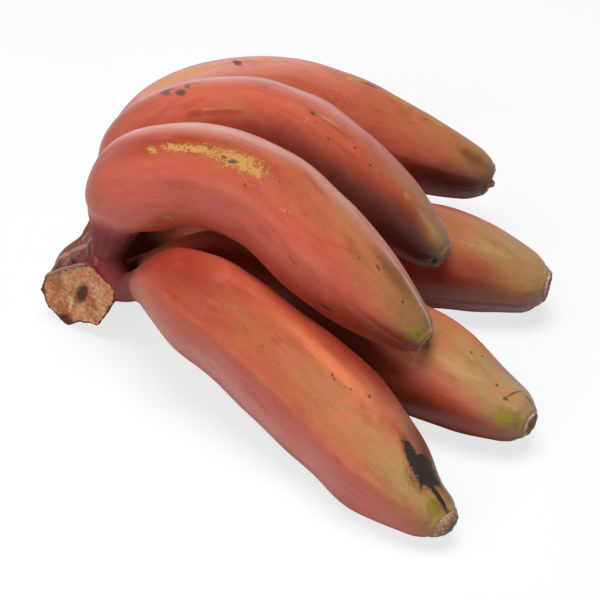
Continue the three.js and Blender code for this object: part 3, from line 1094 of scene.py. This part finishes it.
class Crown:
    """The crown's finished surface. In mm, it knows where each corner is seen from the cut:
    how far to the right and up (flat), how deep behind it, and how far within its rim."""

    def __init__(self):
        self.mesh = fine_crown()
        self.points = corner_values(self.mesh, "co")
        self.normals = corner_values(self.mesh, "normal")
        self.straight, self.apart = places_on_stalks(self.points)
        triangles, heart, self.axes = cut_face()
        seen = (self.points @ self.axes.T - heart) / MM
        self.flat, self.deep = seen[:, [0, 2]], seen[:, 1]
        self.within = inside_outline(self.flat, triangles[..., [0, 2]] / MM)
        facing = smooth(-self.normals @ self.axes[1], 0.2, 0.6)
        self.on_cut = smooth(self.deep, 1.5, 0.7) * facing
        self.upper = smooth(self.flat[:, 1], -3, 2)
        self.grain = grain(self.points * [1, 1, 0.8])
        self.fields = {"straight": self.straight}

    def mark_cut(self):
        """The fields of the cut. Gives how far each corner is sunk, in mm."""
        bark = chipped = cavity = 0
        for depth, dark, *spot in CUT_BARK:
            here = oval(self.flat, *spot)
            bark = np.maximum(bark, here)
            chipped = chipped + depth * here
            cavity = np.maximum(cavity, dark * here)
        ragged = self.within + lumps(self.points, 3 * MM, 4) * RAGGED
        face = self.on_cut * smooth(ragged, 0.3, 1.0) * (1 - bark)
        rim = self.on_cut * smooth(ragged, -0.6, 0.2) * (1 - face) * (1 - RIM_LOST * self.upper)
        hollow, streak, *pale = (oval(self.flat, *place) for place in CUT_MARKS)
        stains = [oval(self.flat, *place) for place in CUT_STAINS]
        self.fields.update(
            face=face, rim=rim, depth=hollow * face, stain=np.max(stains, axis=0),
            streak=np.maximum(streak, PATCH_STRENGTH * np.maximum(*pale)) * face,
            cavity=self.on_cut * cavity,
        )
        sunk = HOLLOW_DEPTH * hollow - STREAK_HEIGHT * streak - FACE_GRAIN * self.grain
        return (FACE_DEPTH + sunk) * face + chipped * self.on_cut

    def mark_skin(self):
        """The fields of the skin: pale seams, the smooth web in front and the blush."""
        skin, right, deep = 1 - self.fields["face"], self.flat[:, 0], self.deep
        lip = smooth(deep, -0.2, 0.3) * smooth(deep, 3.2, 1.6) * smooth(right, 8, 2) * self.upper
        behind = deep - RIDGE_BACK - RIDGE_LEAN * right + lumps(self.points, 20 * MM, 6) * 0.5
        ridge = bell(behind, RIDGE_WIDTH)
        valley = bell(self.apart, VALLEY_WIDTH) * smooth(self.straight[:, 2], -11, -7)
        seam = np.maximum(valley, np.maximum(lip, ridge) * self.upper)
        self.fields.update(
            seam=seam * skin * smooth(self.straight[:, 2], 1, -2),
            web=near_web(self.points) * skin,
            blush=oval(self.flat, *BLUSH) * smooth(deep, 9, 6) * smooth(deep, 1, 3),
        )

    def shape(self, sunk):
        """Raises and sinks the surface, and turns the cut's edge a little outwards."""
        face, rim, seam, web = (self.fields[key] for key in ("face", "rim", "seam", "web"))
        shoulder = bell(norm(self.points - SHOULDER), SHOULDER_REACH)
        height = grooves(self.straight) * (1 - face) * (1 - SMOOTH_BARK * web)
        height += seam * SEAM_HEIGHT + self.grain * SKIN_GRAIN * (1 - web) + rim * RIM_HEIGHT
        height += SHOULDER_HEIGHT * shoulder * (1 - self.on_cut) - sunk
        flare = smooth(self.deep, 4, 1) * smooth(self.within, 3, 0.5)
        outward = unit(self.flat) @ self.axes[[0, 2]]
        self.points += (self.normals * height[:, None] + outward * flare[:, None]) * MM
        self.points[:, 2] = np.maximum(self.points[:, 2], cad_low.z)


crown = Crown()
sunk = crown.mark_cut()
crown.mark_skin()
crown.shape(sunk)
crown.mesh.vertices.foreach_set("co", crown.points.ravel())
for key, values in crown.fields.items():
    set_field(crown.mesh, key, values.reshape(len(crown.points), -1))
place("crown_skin", crown.mesh, "crown", "crown", crown_material())


# ---------------- floor, light and camera

TARGET = Vector((9.11, -24.09, 36)) * MM
CAMERA_AT = 15, 36  # azimuth and elevation
CAMERA_AWAY = 0.76
SENSOR, LENS = 36, 123.2  # mm
FLOOR_HALF = 4.0
WORLD_STRENGTH = 0.02
# For each softbox, its azimuth and elevation, its distance, its size and its watts.
SOFTBOXES = {
    "top": ((0, 88), 1.4, 0.9, 18.5),
    "front": ((-20, 22), 1.4, 0.6, 6.9),
    "left": ((-70, 55), 1.4, 0.9, 2.8),
}


def floor():
    sides = (-1, -1), (1, -1), (1, 1), (-1, 1)
    corners = [(FLOOR_HALF * x, FLOOR_HALF * y, cad_low.z) for x, y in sides]
    mesh = bpy.data.meshes.new("floor")
    mesh.from_pydata(corners, [], [(0, 1, 2, 3)])
    mesh.materials.append(floor_material())
    made = put("floor", mesh)


def direction(azimuth, elevation):
    """From the object towards a viewer: azimuth 0 is in front, and 90 is on the right."""
    a, e = math.radians(azimuth), math.radians(elevation)
    return Vector((math.sin(a) * math.cos(e), -math.cos(a) * math.cos(e), math.sin(e)))


def aim(made, at, away):
    """Puts a lamp or the camera at a place around the target, turned towards it."""
    made.location = TARGET + direction(*at) * away
    made.rotation_mode = "QUATERNION"
    made.rotation_quaternion = (TARGET - made.location).to_track_quat("-Z", "Y")


def softbox(name, at, away, size, watts):
    light = bpy.data.lights.new(name, "AREA")
    light.shape = "DISK"
    light.size = size
    light.energy = watts
    made = put(name, light)
    made.visible_glossy = False
    aim(made, at, away)


def camera():
    lens = bpy.data.cameras.new("camera")
    lens.sensor_width = SENSOR
    lens.lens = LENS
    lens.clip_start, lens.clip_end = 0.05, 20
    made = put("camera", lens)
    aim(made, CAMERA_AT, CAMERA_AWAY)
    bpy.context.scene.camera = made


def world():
    """White to the camera. Reflections see it white near the horizon and dim overhead."""
    g = Graph(bpy.data.worlds.new("world"))
    direct, mirrored = g.rays()
    height = g.add("SeparateXYZ", {0: g.add("TexCoord", {}, 0)}, 2)
    surround = g.step(height, 0.75, 0.45, 0.05, 1.0)
    strength = g.math("MAXIMUM", g.times(mirrored, surround), direct)
    background = g.tree.nodes["Background"].inputs
    g.feed(background["Color"], WHITE)
    g.feed(background["Strength"], g.math("MAXIMUM", strength, WORLD_STRENGTH))
    bpy.context.scene.world = g.owner


floor()
camera()
world()
for name, facts in SOFTBOXES.items():
    softbox(name, *facts)

bpy.context.scene.view_settings.view_transform = "Standard"
